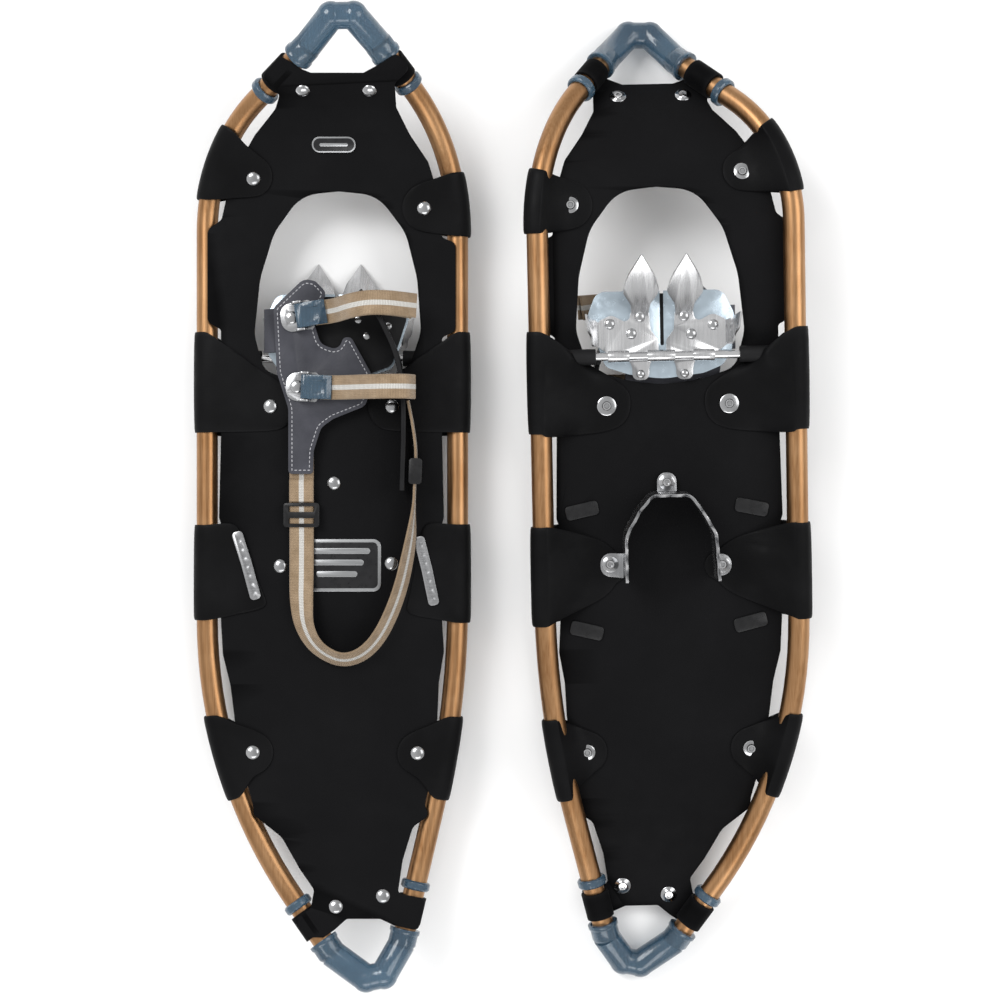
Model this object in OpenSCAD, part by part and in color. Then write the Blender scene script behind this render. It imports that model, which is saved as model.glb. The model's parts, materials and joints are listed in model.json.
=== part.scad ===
// A pair of hiking snowshoes laid side by side: the left one stands on its
// crampons with the deck up, the right one lies upside down on its end caps.
// Both are the same shoe, described once in its own frame: X across, Y towards
// the toe, Z up, with the origin on the binding's pivot rod between the rails.

/* [Frame] */
// Distance between the axes of the two rails
rail_gap = 197; // [194:0.5:199]
// Outer diameter of the rail tubing
tube_d = 16.7; // [16.2:0.1:16.9]
// Wall thickness of the rail tubing
tube_wall = 1.4; // [1:0.1:2.5]
// Outer diameter of the sleeves of the two end caps
sleeve_d = 22; // [21:0.5:23]

/* [Deck] */
// Thickness of the deck sheet
deck_t = 2; // [1.6:0.1:2.2]
// Thickness of the wraps that hold the deck to the rails
wrap_t = 2.2; // [1.8:0.1:2.4]
// Diameter of the domed rivet heads
head_d = 11; // [9:0.5:12]

/* [Binding] */
// Diameter of the pivot rod
rod_d = 6.4; // [6:0.1:6.6]
// Width of the strap webbing
web_w = 19; // [17:0.5:19.5]
// Thickness of the strap webbing
web_t = 1.8; // [1.4:0.1:2]
// Depth of the crampon points below the rail axis
bite = 32; // [28:1:34]

/* [Layout] */
// Distance between the centrelines of the two shoes
shoe_gap = 261; // [256:1:320]
// Turn of the right shoe on the ground, in degrees
right_turn = 1.25; // [0:0.25:3]

/* [Hidden] */
SIDES = ["left", "right"];
PARTS = ["lateral_tube", "medial_tube", "tip_cap", "tail_cap", "stop_rings", "deck",
         "front_wraps", "pivot_wraps", "heel_wraps", "rear_wraps", "deck_rivets",
         "heel_crampon", "clamp_bars", "backing_plates", "axle_rod", "axle_sleeves",
         "deck_badges", "foot_plate", "toe_crampon", "binding_rivets", "lateral_flap",
         "medial_flap", "buckle_frames", "toe_strap", "instep_strap", "heel_strap",
         "side_buckle", "toe_lever", "instep_lever", "heel_slider"];
$fn = 48;

fit = 0.1;                     // gap between a tube and what is round it
rail_x = rail_gap / 2;
tube_r = tube_d / 2;
sleeve_r = sleeve_d / 2;
deck_z = tube_r + fit;         // underside of the deck sheet
top_z = deck_z + deck_t;       // upper face of the deck sheet
flap_z = top_z + wrap_t;       // upper face of the wraps
tab_t = 2;                     // thickness of the steel tabs under the deck
sheet_t = 1.6;                 // thickness of the crampon sheet
sleeve_r_axle = 6.2;           // radius of the rubber sleeves on the pivot rod

// Rail bends: radius, tilt of the bend's plane, angle, straight length after it
lateral_toe = [116, 38, 56.7, 66];
medial_toe = [136.4, 47, 51, 48];
lateral_tail = [367.4, 12, 36.3, 52];
medial_tail = [680, 19, 14, 107];
toe_y = 100;                   // where both rails start to bend towards the toe
lateral_tail_y = -205;
medial_tail_y = -190;

// Rivets through the deck: x, y
front_rivets = [[-60.4, 140], [72.5, 117]];
pivot_rivets = [[-47.5, -38], [47.5, -38]];
heel_rivets = [[-40, -163], [47, -161]];
rear_rivets = [[-61, -308.5], [67.5, -309]];
toe_rivets = [[-19, 203], [32, 203]];
tail_rivets = [[4.5, -427], [41, -419]];
crampon_rivet = [2, -98];

// ---------- helpers ----------

function unit(v) = v / norm(v);

// Arc that rounds corner p between the legs to a and b, as a list of points
function corner(a, p, b, r, n = 6) =
    let (u = unit(a - p), v = unit(b - p), half = acos(u * v) / 2,
         c = p + unit(u + v) * r / sin(half), s = p + u * r / tan(half),
         t = p + v * r / tan(half), a0 = atan2(s[1] - c[1], s[0] - c[0]),
         a1 = atan2(t[1] - c[1], t[0] - c[0]),
         da = a1 - a0 > 180 ? a1 - a0 - 360 : a1 - a0 < -180 ? a1 - a0 + 360 : a1 - a0)
    [for (i = [0 : n]) c + r * [cos(a0 + da * i / n), sin(a0 + da * i / n)]];

// Closed outline from [x, y, corner radius] points
function outline(p) = [for (i = [0 : len(p) - 1])
    let (a = p[(i + len(p) - 1) % len(p)], b = p[(i + 1) % len(p)], q = p[i])
    each q[2] > 0 ? corner([a[0], a[1]], [q[0], q[1]], [b[0], b[1]], q[2]) : [[q[0], q[1]]]];

// Smooth open curve through the middles of a route's legs, ends kept
function smooth(p, n = 2) = n == 0 ? p :
    smooth([p[0], for (i = [0 : len(p) - 2]) each [0.75 * p[i] + 0.25 * p[i + 1],
            0.25 * p[i] + 0.75 * p[i + 1]], p[len(p) - 1]], n - 1);

// Outline of a band of width w along an open route
function side_of(p, i, d) =
    let (u = unit(p[min(i + 1, len(p) - 1)] - p[max(i - 1, 0)])) p[i] + d * [-u[1], u[0]];
function band(p, w) = concat([for (i = [0 : len(p) - 1]) side_of(p, i, w / 2)],
                             [for (i = [len(p) - 1 : -1 : 0]) side_of(p, i, -w / 2)]);

// Height that the rails have gained at a place along the shoe
function toe_rise(y) = let (r = lateral_toe[0], k = r * sin(lateral_toe[1]),
                            y1 = toe_y + r * sin(lateral_toe[2]))
    y < toe_y ? 0 : y < y1 ? k * (1 - sqrt(1 - pow((y - toe_y) / r, 2))) :
    k * (1 - cos(lateral_toe[2])) + (y - y1) * tan(lateral_toe[2]) * sin(lateral_toe[1]);
function tail_rise(y) = let (r = lateral_tail[0], k = r * sin(lateral_tail[1]),
                             y1 = lateral_tail_y - r * sin(lateral_tail[2]))
    y > lateral_tail_y ? 0 : y > y1 ? k * (1 - sqrt(1 - pow((lateral_tail_y - y) / r, 2))) :
    k * (1 - cos(lateral_tail[2])) + (y1 - y) * tan(lateral_tail[2]) * sin(lateral_tail[1]);
function rise(y) = toe_rise(y) + tail_rise(y);
function slope(y) = atan((rise(y + 1) - rise(y - 1)) / 2);

// Height of the surface that lies z off the rails' axes
function at_height(y, z) = rise(y) + z / cos(slope(y));

// Puts children at [x, y] on the surface z off the axes, tipped with the deck
module on_deck(p, z) translate([p[0], p[1], at_height(p[1], z)]) rotate([slope(p[1]), 0, 0])
    children();

// A plate from z0 to z1 with the given outline
module plate(p, z0, z1) translate([0, 0, z0]) linear_extrude(z1 - z0) polygon(outline(p));

// Solid sheet between two faces given as rows of points, one row per station
module strip(outer, inner) {
    rows = len(outer);
    m = len(outer[0]);
    function o(i, j) = i * m + j;
    function n(i, j) = rows * m + i * m + j;
    function quad(a, b, c, d) = [[a, c, b], [a, d, c]];
    polyhedron(points = concat([for (r = outer) each r], [for (r = inner) each r]), faces = concat(
        [for (i = [0 : rows - 2], j = [0 : m - 2]) each
            quad(o(i, j), o(i, j + 1), o(i + 1, j + 1), o(i + 1, j))],
        [for (i = [0 : rows - 2], j = [0 : m - 2]) each
            quad(n(i, j), n(i + 1, j), n(i + 1, j + 1), n(i, j + 1))],
        [for (i = [0 : rows - 2]) each quad(o(i, 0), o(i + 1, 0), n(i + 1, 0), n(i, 0))],
        [for (i = [0 : rows - 2]) each
            quad(o(i, m - 1), n(i, m - 1), n(i + 1, m - 1), o(i + 1, m - 1))],
        [for (j = [0 : m - 2]) each quad(o(0, j), n(0, j), n(0, j + 1), o(0, j + 1))],
        [for (j = [0 : m - 2]) each quad(o(rows - 1, j), o(rows - 1, j + 1),
                                         n(rows - 1, j + 1), n(rows - 1, j))]));
}

// ---------- rails ----------

// Place and direction on a bend that starts along +Y, turned through angle a
function bend_at(b, a) = [b[0] * [(1 - cos(a)) * cos(b[1]), sin(a), (1 - cos(a)) * sin(b[1])],
                          [sin(a) * cos(b[1]), cos(a), sin(a) * sin(b[1])]];
function past_at(b, s) = let (e = bend_at(b, b[2])) [e[0] + s * e[1], e[1]];
function flip(v, side) = [-side * v[0], v[1], v[2]];
function toe_station(side, e) = [[side * rail_x, toe_y, 0] + flip(e[0], side), flip(e[1], side)];
function tail_station(side, e) = let (y = side < 0 ? lateral_tail_y : medial_tail_y,
    p = flip(e[0], side), t = flip(e[1], side))
    [[side * rail_x + p[0], y - p[1], p[2]], [-t[0], t[1], -t[2]]];
function toe_bend(side) = side < 0 ? lateral_toe : medial_toe;
function tail_bend(side) = side < 0 ? lateral_tail : medial_tail;

// Station on a rail at distance y along the shoe, for places on the bends or between
function rail_at(side, y) = let (tail_y = side < 0 ? lateral_tail_y : medial_tail_y)
    y > toe_y ? toe_station(side, bend_at(toe_bend(side), asin((y - toe_y) / toe_bend(side)[0]))) :
    y < tail_y ? tail_station(side, bend_at(tail_bend(side), asin((tail_y - y) /
                                                               tail_bend(side)[0]))) :
    [[side * rail_x, y, 0], [0, 1, 0]];

// Stations of a whole rail, tail to toe
function rail_stations(side) = let (bt = tail_bend(side), bh = toe_bend(side)) concat(
    [tail_station(side, past_at(bt, bt[3]))],
    [for (i = [6 : -1 : 0]) tail_station(side, bend_at(bt, bt[2] * i / 6))],
    [for (i = [0 : 8]) toe_station(side, bend_at(bh, bh[2] * i / 8))],
    [toe_station(side, past_at(bh, bh[3]))]);

// Ring of points round a station, upright whichever way the rail leans
function ring(e, r, sides) = let (t = e[1], h = unit([t[1], -t[0], 0]), v = cross(h, t))
    [for (k = [0 : sides - 1]) e[0] + r * (cos(360 * k / sides) * h + sin(360 * k / sides) * v)];

module tube(side) {
    rows = rail_stations(side);
    sides = 16;
    count = len(rows) * sides;
    function at(i, j) = i * sides + (j % sides);
    function quad(a, b, c, d) = [[a, c, b], [a, d, c]];
    color("#b98b57") polyhedron(
        points = concat([for (e = rows) each ring(e, tube_r, sides)],
                        [for (e = rows) each ring(e, tube_r - tube_wall, sides)]),
        faces = concat([for (i = [0 : len(rows) - 2], j = [0 : sides - 1]) each
            quad(at(i, j), at(i + 1, j), at(i + 1, j + 1), at(i, j + 1))],
            [for (i = [0 : len(rows) - 2], j = [0 : sides - 1]) each
            quad(count + at(i, j), count + at(i, j + 1), count + at(i + 1, j + 1),
                 count + at(i + 1, j))],
            [for (j = [0 : sides - 1]) each
                quad(at(0, j), at(0, j + 1), count + at(0, j + 1), count + at(0, j))],
            [for (j = [0 : sides - 1], i = [len(rows) - 1]) each
                quad(at(i, j), count + at(i, j), count + at(i, j + 1), at(i, j + 1))]));
}

module lateral_tube() tube(-1);
module medial_tube() tube(1);

// Puts children past the end of a bend, at s along the straight, with +Z along it
module past_bend(b, s) rotate([0, -b[1], 0]) translate([b[0], 0, 0]) rotate([0, 0, -b[2]])
    translate([-b[0], s, 0]) rotate([-90, 0, 0]) children();

module at_toe(x, side) translate([side * x, toe_y, 0]) mirror([side > 0 ? 1 : 0, 0, 0]) children();
module at_tail(x, side, y) translate([side * x, y, 0]) mirror([side > 0 ? 1 : 0, 0, 0])
    mirror([0, 1, 0]) children();

// Puts children on the straight end of a rail, s past its bend, +Z towards the cap
module on_end(side, toe, s) {
    if (toe) at_toe(rail_x, side) past_bend(toe_bend(side), s) children();
    else at_tail(rail_x, side, side < 0 ? lateral_tail_y : medial_tail_y)
        past_bend(tail_bend(side), s) children();
}

module stop_rings() color("#5f7f96")
    for (e = [[-1, true, 9], [1, true, 2], [-1, false, 2], [1, false, 56]])
        on_end(e[0], e[1], e[2]) rotate_extrude() polygon(outline([[tube_r + fit, 0, 0],
            [sleeve_r - 1, 0, 0], [sleeve_r + 0.3, 1.4, 1], [sleeve_r + 0.3, 5.6, 1],
            [sleeve_r - 1, 7, 0], [tube_r + fit, 7, 0]]));

// ---------- end caps ----------

// Rod of radius r from a to b
module rod(a, b, r) {
    v = b - a;
    translate(a) rotate([0, acos(v[2] / norm(v)), atan2(v[1], v[0])]) cylinder(r = r, h = norm(v));
}

// Two sleeves that meet in a blunt nose between points a and b
module end_cap(toe, s_lateral, s_medial, a, b) color("#5f7f96") {
    arm_r = sleeve_r - 0.3;
    stations = [for (e = [[-1, s_lateral], [1, s_medial]])
        toe ? toe_station(e[0], past_at(toe_bend(e[0]), e[1] + 12))
            : tail_station(e[0], past_at(tail_bend(e[0]), e[1] + 12))];
    difference() {
        union() {
            for (i = [0, 1]) {
                on_end(i * 2 - 1, toe, i == 0 ? s_lateral : s_medial)
                    rotate_extrude() polygon([[0, 0], [sleeve_r + 0.9, 0], [sleeve_r + 0.9, 3],
                        [sleeve_r, 4], [sleeve_r, 12], [sleeve_r - 2, 15], [0, 15]]);
                rod(stations[i][0], i == 0 ? a : b, arm_r);
                translate(i == 0 ? a : b) sphere(sleeve_r);
            }
            rod(a, b, arm_r - 0.4);
        }
        for (i = [0, 1]) on_end(i * 2 - 1, toe, (i == 0 ? s_lateral : s_medial) - 1)
            cylinder(r = tube_r + fit / 2, h = 15.5);
    }
}

module tip_cap() end_cap(true, 53, 35, [4.5, 253.5, 78], [21.5, 254, 77]);
module tail_cap() end_cap(false, 39, 94, [28, -482.5, 25], [41.5, -480, 25]);

// ---------- deck ----------

deck_edge = [
    // toe, then down the lateral edge
    [28, 213.5, 0], [37, 217.5, 2], [53.5, 226, 4], [64, 217, 4], [51.5, 207, 3],
    [52, 191, 4], [62, 172, 20], [76, 152, 12],
    [86.5, 118, 20], [86.5, 94, 3], [97, 90, 6], [97, 21, 6], [86.5, 16, 3], [86.5, -62, 4],
    [88, -125, 4], [86.5, -130, 4], [86.5, -206, 8], [88, -230, 12], [84, -254, 10],
    [83, -280, 10], [80, -318, 20], [73, -350, 8], [77, -357, 5], [64, -366, 8],
    [56, -392, 30], [52.5, -417, 3], [74, -421, 4], [68.5, -445, 4], [50, -441, 3],
    [39, -436, 4], [13, -436, 4], [4, -444, 3], [-13, -456, 4], [-28, -437, 4],
    [-15, -428, 3], [-12.5, -414, 5],
    [-24, -398, 40], [-38, -374, 20], [-60, -357, 4], [-61, -348, 4], [-72, -310, 20],
    [-79, -256, 12], [-85, -232, 12], [-86.5, -206, 8], [-86.5, -130, 4], [-88, -125, 4],
    [-86.5, -62, 4], [-86.5, 22, 3], [-97, 28, 6], [-97, 100, 6], [-86, 108, 6],
    [-78, 142, 14], [-58, 172, 14], [-41, 190, 4], [-37, 199, 3], [-49.5, 211, 4],
    [-34, 224.5, 4], [-19, 216, 2], [-12, 213.5, 0]];

toe_hole = [[6, 130, 28], [36, 127, 30], [58, 98, 40], [67, 62, 60], [70, 20, 30], [60, -10, 14],
            [29, -19, 40], [4, -22.5, 80], [-26, -19, 40], [-53, -10, 14], [-60.5, 18, 30],
            [-56, 62, 60], [-45, 98, 40], [-24, 127, 30]];

profile_y = [for (y = [-450 : 15 : -210]) y, -205, 0, for (y = [100 : 8 : 228]) y];

// Everything between z0 and z1 off the rails' axes, across the whole width
module layer(z0, z1) translate([-130, 0, 0]) rotate([90, 0, 90]) linear_extrude(260)
    polygon(concat([for (y = profile_y) [y, at_height(y, z0)]],
        [for (i = [len(profile_y) - 1 : -1 : 0]) [profile_y[i], at_height(profile_y[i], z1)]]));

module deck() color("#1b1b1d") intersection() {
    linear_extrude(100) difference() {
        polygon(outline(deck_edge));
        polygon(outline(toe_hole));
    }
    layer(deck_z, top_z);
}

// ---------- wraps ----------

wrap_in = tube_r + 0.55;                       // inside radius of a wrap's fold
wrap_out = wrap_in + wrap_t;

// End of a flap: k + 1 points round a rivet, or along a line, from the tail side up
function round_end(p, r, side, k) = [for (i = [0 : k]) let (a = 168 * i / k - 84)
    p + r * [-side * cos(a), sin(a)]];
function line_end(a, b, k) = [for (i = [0 : k]) a + (b - a) * i / k];

// One wrap between rail places y0 and y1. top and bottom are the flaps' end points;
// the lower flap stays low as far as low_part of its way and meets the deck at deck_part,
// each given once or for every point.
module wrap(side, y0, y1, top, bottom, low_part = 0.06, deck_part = 0.5) {
    k = len(top) - 1;
    function share(list, i) = is_list(list) ? list[i] : list;
    function row(i, out) = let (
        e = rail_at(side, y0 + (y1 - y0) * i / k), c = [e[0][0], e[0][1]],
        n = -side * unit([e[1][1], -e[1][0]]), r = out ? wrap_out : wrap_in,
        lean = cos(slope(e[0][1])),
        face_top = out ? flap_z : top_z, face_low = out ? deck_z - wrap_t : deck_z,
        ramp = c + 2 * n, low = c + share(low_part, i) * (bottom[i] - c),
        up = c + share(deck_part, i) * (bottom[i] - c))
        concat(
            [for (p = [top[i], (top[i] + c) / 2, c + 2.5 * n])
                [p[0], p[1], at_height(p[1], face_top)]],
            [for (a = [68, 40, 12, -16, -44, -72]) let (p = c - r * cos(a) * n)
                [p[0], p[1], e[0][2] + r * sin(a) / lean]],
            [for (p = [ramp, low]) [p[0], p[1], e[0][2] - r / lean]],
            [for (p = [up, bottom[i]]) [p[0], p[1], at_height(p[1], face_low)]]);
    outer = [for (i = [0 : k]) row(i, true)];
    inner = [for (i = [0 : k]) row(i, false)];
    if (side < 0) strip(inner, outer);
    else strip(outer, inner);
}

module front_wraps() color("#202023") {
    wrap(-1, 123, 176, round_end([-60.4, 141], 16, -1, 7), round_end([-60.4, 141], 16, -1, 7));
    wrap(1, 95, 144, round_end([73, 117], 19, 1, 7), round_end([73, 117], 19, 1, 7));
}

module pivot_wraps() color("#202023") for (side = [-1, 1]) {
    end = [for (p = [[62, -60], [46, -58.5], [34, -54], [28, -44], [27, -33], [31, -22],
                     [57, -8], [66, -2]]) [side * p[0], p[1]]];
    wrap(side, -62, 24, end, end, [0.06, 0.06, 0.06, 0.06, 0.1, 0.32, 0.6, 0.72],
         [0.58, 0.56, 0.56, 0.56, 0.58, 0.66, 0.9, 0.95]);
}

module heel_wraps() color("#202023") {
    wrap(-1, -206, -128, line_end([-48, -196], [-74, -129], 7),
         concat([[-44, -186]], round_end([-37, -164], 11.5, -1, 5), [[-46, -143]]));
    wrap(1, -208, -128, line_end([57, -201], [72, -129], 7),
         concat([[48, -187]], round_end([43, -164], 11.5, 1, 5), [[48, -143]]));
}

module rear_wraps() color("#202023") {
    wrap(-1, -344, -279, round_end([-61, -308.5], 17, -1, 7), round_end([-61, -308.5], 17, -1, 7));
    wrap(1, -345, -280, round_end([67.5, -309], 17, 1, 7), round_end([67.5, -309], 17, 1, 7));
}

// ---------- riveted metalwork of the deck ----------

// Dome of radius r and height h, as profile points from the rim up to the axis
function dome(r, h, z) = [for (i = [0 : 6]) [r * cos(15 * i), z + h * sin(15 * i)]];

// Deck rivet with a domed head above, a washer and a rolled end below
module rivet(p, z_low, z_high, washer_r = 6.4) on_deck(p, deck_z) translate([0, 0, -deck_z])
    rotate_extrude() polygon(concat([[0, z_low - 1.3], [1.6, z_low - 1.3], [1.9, z_low - 2.2],
        [3, z_low - 2.3], [3.4, z_low - 1.1], [washer_r - 0.3, z_low - 0.9],
        [washer_r, z_low - 0.6], [washer_r, z_low], [2.2, z_low], [2.2, z_high]],
        dome(head_d / 2, 2.4, z_high)));

module deck_rivets() color("#c9ccd0") {
    low = deck_z - wrap_t;
    for (p = concat(front_rivets, rear_rivets)) rivet(p, low, flap_z);
    for (p = pivot_rivets) rivet(p, low, flap_z, 7.5);
    for (p = heel_rivets) rivet(p, low - tab_t, top_z);
    for (p = concat(toe_rivets, tail_rivets)) rivet(p, deck_z - 0.1, top_z);
    rivet(crampon_rivet, low - tab_t, top_z);
}

// Arched blade on edge, with teeth along its lower edge and three riveted tabs
module heel_crampon() color("#b9bcc0") {
    low = deck_z - wrap_t;
    arch_out = [[-14, -105, 9], [16, -105, 9], [26, -117, 12], [37, -136, 20], [37, -172, 0]];
    arch = [[-36, -172, 0], [-34, -136, 20], [-23, -117, 12]];
    difference() {
        plate(concat(arch, arch_out), -bite, low);
        plate([[-33.8, -174, 0], [-31.8, -137, 18], [-21.4, -118.5, 10], [-13, -107.2, 8],
               [15, -107.2, 8], [24.4, -118.5, 10], [34.8, -137, 18], [34.8, -174, 0]],
              -bite - 1, low + 1);
        // notches between the teeth of the two arms and of the bow
        for (i = [0 : 4]) translate([0, -166 + 12 * i, -bite]) rotate([45, 0, 0])
            cube([120, 6, 6], center = true);
        for (x = [-10.5, 1.5, 13.5]) translate([x, -105, -bite]) rotate([0, 45, 0])
            cube([6, 12, 6], center = true);
    }
    translate([0, 0, low - tab_t]) linear_extrude(tab_t) {
        polygon(outline([[-5.5, -90.5, 7], [9.5, -90.5, 7], [9.5, -107, 0], [-5.5, -107, 0]]));
        polygon(outline([[-34.3, -155, 0], [-47, -154, 8], [-47.5, -171, 8], [-35.3, -172, 0]]));
        polygon(outline([[36.4, -172, 0], [54.5, -170, 8], [54.5, -152, 8], [36.4, -153, 0]]));
    }
}

module clamp_bars() color("#c2c4c7")
    for (e = [[-66.3, -162.5, 16.3], [74.4, -166.7, 13]])
        translate([e[0], e[1], flap_z]) rotate([0, 0, e[2]]) difference() {
            plate([[-4.2, -27.5, 3], [4.2, -27.5, 3], [4.8, 2, 30], [4.2, 27.5, 3], [-4.2, 27.5, 3],
                   [-3.6, 2, 30]], 0, 1.5);
            for (y = [-21 : 7 : 21]) translate([0.3, y, 1.1]) cylinder(r = 1.6, h = 2);
        }

module backing_plates() color("#101012")
    for (e = [[-64, -119, 12], [68, -119, -12], [-62, -209, -14], [66, -213, 14]])
        translate([e[0], e[1], 0]) rotate([0, 0, e[2]])
            plate([[-13, -5.5, 3], [13, -5.5, 3], [13, 5.5, 3], [-13, 5.5, 3]],
                  deck_z - 1.3, deck_z);

module axle_rod() color("#c9ccd0") rotate([0, 90, 0])
    cylinder(r = rod_d / 2, h = 2 * (rail_x - tube_r - fit), center = true);

module axle_sleeves() color("#17171a") for (s = [-1, 1]) rotate([0, 90 * s, 0])
    translate([0, 0, 55.5]) difference() {
        cylinder(r = sleeve_r_axle, h = rail_x - tube_r - fit - 55.5);
        translate([0, 0, -1]) cylinder(r = rod_d / 2 + 0.03, h = 60);
    }

module deck_badges() color("#b4b8bb") {
    translate([4.3, -162.4, top_z]) {
        plate([[-34.5, -20.5, 6], [34.5, -20.5, 6], [34.5, 20.5, 6], [-34.5, 20.5, 6]], 0, 0.8);
        difference() {
            plate([[-31.5, -17.5, 4], [31.5, -17.5, 4], [31.5, 17.5, 4], [-31.5, 17.5, 4]],
                  0.7, 1.3);
            plate([[-27, -13, 3], [27, -13, 3], [27, 13, 3], [-27, 13, 3]], 0.7, 2);
        }
    }
    on_deck([2.8, 165], top_z + 0.5) plate([[-17, -6.3, 6], [17, -6.3, 6], [17, 6.3, 6],
                                             [-17, 6.3, 6]], 0, 0.9);
}

// ---------- binding ----------

knuckle_r = 4.6;
sheet_z = knuckle_r - sheet_t;                 // crampon sheet's underside
plate_z = knuckle_r + 0.05;                    // foot plate's underside
plate_top = plate_z + 1.6;
arm_z = flap_z + 3.2;                          // underside of the lateral flap
flap_t = 3.5;
arm_top = arm_z + flap_t;
claw_x = [-13.2, 20.7];
claw_tilt = 38;
claw_root = [32, 3.6];                         // y and z of the bend at a claw's root

module foot_plate() color("#c6d3dc") difference() {
    plate([[-43, 50, 10], [54, 50, 10], [61, 32, 10], [53, 7, 8], [48, -8, 8], [30, -14, 20],
           [4, -18, 60], [-28, -14, 20], [-43, -8, 10], [-50, 3, 8], [-52, 32, 10]],
          plate_z, plate_top);
    plate([[2.4, 51, 0], [5.2, 51, 0], [5.2, 8, 1], [2.4, 8, 1]], 0, 20);
}

// Half of the toe crampon: one front claw, one hooked side claw, a rear tab
module crampon_half(x, side) {
    plate([[x - side * 7, 34, 1], [x + side * 7, 34, 1], [x + side * 9, 25, 4],
           [x + side * 22, 32, 6], [x + side * 33, 27, 6], [x + side * 34, 8, 6], [x + side * 26, 3, 6],
           [x + side * 24, -4, 3], [x + side * 8, -4, 3],
           [x + side * 6.5, -10, 3], [x + side * 6.5, -18.5, 5], [x - side * 6.5, -18.5, 5],
           [x - side * 6.5, -10, 3], [x - side * 8, -4, 3], [x - side * 14, -4, 3],
           [x - side * 14, 12, 6],
           [x - side * 8, 20, 6]], sheet_z, knuckle_r);
    claw_len = (bite + claw_root[1]) / sin(claw_tilt) - 1.08;
    translate([x, claw_root[0], claw_root[1]]) rotate([-claw_tilt, 0, 0])
        for (s = [-1, 1]) rotate([0, s * 12, 0]) intersection() {
            plate([[-6.5, 0, 0], [6.5, 0, 0], [8, 12, 8], [14.5, 24, 8], [11, 38, 30],
                   [0.3, claw_len, 0], [-0.3, claw_len, 0], [-11, 38, 30], [-14.5, 24, 8],
                   [-8, 12, 8]], -sheet_t / 2, sheet_t / 2);
            translate([s > 0 ? -0.35 : -20, -1, -5]) cube([20.35, 80, 10]);
        }
    // side claw, bent down with a hooked point
    translate([x + side * 33, 17, knuckle_r]) rotate([0, side * 65, 0])
        mirror([side < 0 ? 1 : 0, 0, 0]) plate([[-0.5, -9, 0], [-0.5, 9, 0], [12, 12, 4],
            [24, 16, 0], [20, 3, 8], [13, -2, 6], [12, -9, 4]], -sheet_t, 0);
}

module toe_crampon() color("#d5d8db") difference() {
    union() {
        for (s = [-1, 1]) crampon_half(s < 0 ? claw_x[0] : claw_x[1], s);
        for (k = [[-36, 16.3], [-5.6, 21.3], [29.3, 16.7]]) translate([k[0], 0, 0])
            rotate([0, 90, 0]) cylinder(r = knuckle_r, h = k[1]);
    }
    translate([-60, 0, 0]) rotate([0, 90, 0]) cylinder(r = rod_d / 2 + 0.05, h = 120);
    // slots that show the rod between the rolled knuckles
    for (x = [-19.7, 15.7]) translate([x, -6, -10]) cube([14, 12, 10 + sheet_z]);
}

// Rivet with a domed head at each end, between heights z0 and z1
module button(p, z0, z1, r = 4.6) translate([p[0], p[1], 0]) rotate_extrude() polygon(concat(
    [for (i = [6 : -1 : 0]) [dome(r, 2, 0)[i][0], z0 - dome(r, 2, 0)[i][1]]],
    [[2, z0], [2, z1]], dome(r, 2, z1)));

plate_rivets = [[20.8, 30], [-13.3, 30], [44, 25], [27.4, 17.3], [-35.7, 23], [-18.7, 16.3],
                [20.7, -14], [-13.2, -14]];
buckle_pins = [[-30.4, 30.6], [-26.3, -23]];

module binding_rivets() color("#c9ccd0") {
    for (p = plate_rivets) button(p, sheet_z, plate_top, p[1] < 0 ? 3.4 : 4.2);
    for (p = buckle_pins) button(p, arm_z, arm_top + 1.5, 5.2);
}

module lateral_flap() color("#4a4a50") {
    difference() {
        plate([[-44.6, 38.6, 6], [-20.7, 61.4, 10], [-11.7, 59, 6], [-3, 50, 6], [-14, 30, 8],
               [-8, 10, 10], [6, 5.5, 6], [10, 15.4, 4], [16, 15.4, 4], [32.8, -15, 12],
               [27, -38, 8], [2, -48, 10], [-7.6, -55, 10], [-13.3, -73, 12], [-13.8, -91, 3],
               [-33, -91, 3], [-33, -40, 20], [-42, -12, 20]], arm_z, arm_top);
        for (p = buckle_pins) translate([p[0], p[1], arm_z - 1]) cylinder(r = 2.05, h = 9);
    }
    // root of the flap, down to the edge of the foot plate
    translate([0, 38, 0]) rotate([90, 0, 0]) linear_extrude(34) polygon([[-44, arm_z + 1],
        [-41, arm_z], [-46, plate_top], [-53, plate_top], [-53, plate_top + 2]]);
}

edge_top = 44;                                 // top of the flap that stands on edge
medial_route = smooth([[24, 50], [33, 40], [43, 22], [52, 2], [57, -24], [57.5, -60], [56, -104]]);

module medial_flap() color("#1c1c1f") difference() {
    translate([0, 0, plate_top + 0.2]) linear_extrude(edge_top - plate_top)
        polygon(band(medial_route, 3.6));
    // the rear arm rises clear of the deck, its wraps and rivets
    translate([30, -120, 0]) cube([60, 114, flap_z + 2.8]);
    translate([30, -120, flap_z + 22]) cube([60, 90, 50]);
    // slots for the straps
    translate([25, 24, 30]) cube([30, 22, 6]);
}

// D-shaped frame with a cross pin for the lever; the pin lies along Y
module buckle_frame(turn) rotate([0, 0, turn]) {
    difference() {
        plate([[-13, -11, 9], [-13, 11, 9], [12, 11.5, 2.5], [12, -11.5, 2.5]], 0, 1.5);
        plate([[3.5, -8, 1], [3.5, 8, 1], [9.6, 8, 1], [9.6, -8, 1]], -1, 3);
        translate([-4.5, 0, -1]) cylinder(r = 2.05, h = 4);
    }
    for (y = [-11.5, 10]) translate([1, y, 1]) rotate([90, 0, 0]) mirror([0, 0, 1])
        linear_extrude(1.5) polygon(outline([[-4, 0, 0], [6, 0, 0], [4, 7, 2], [-3, 7, 2]]));
    translate([1.5, 10.5, 5.5]) rotate([90, 0, 0]) cylinder(r = 1.2, h = 21);
}

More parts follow.
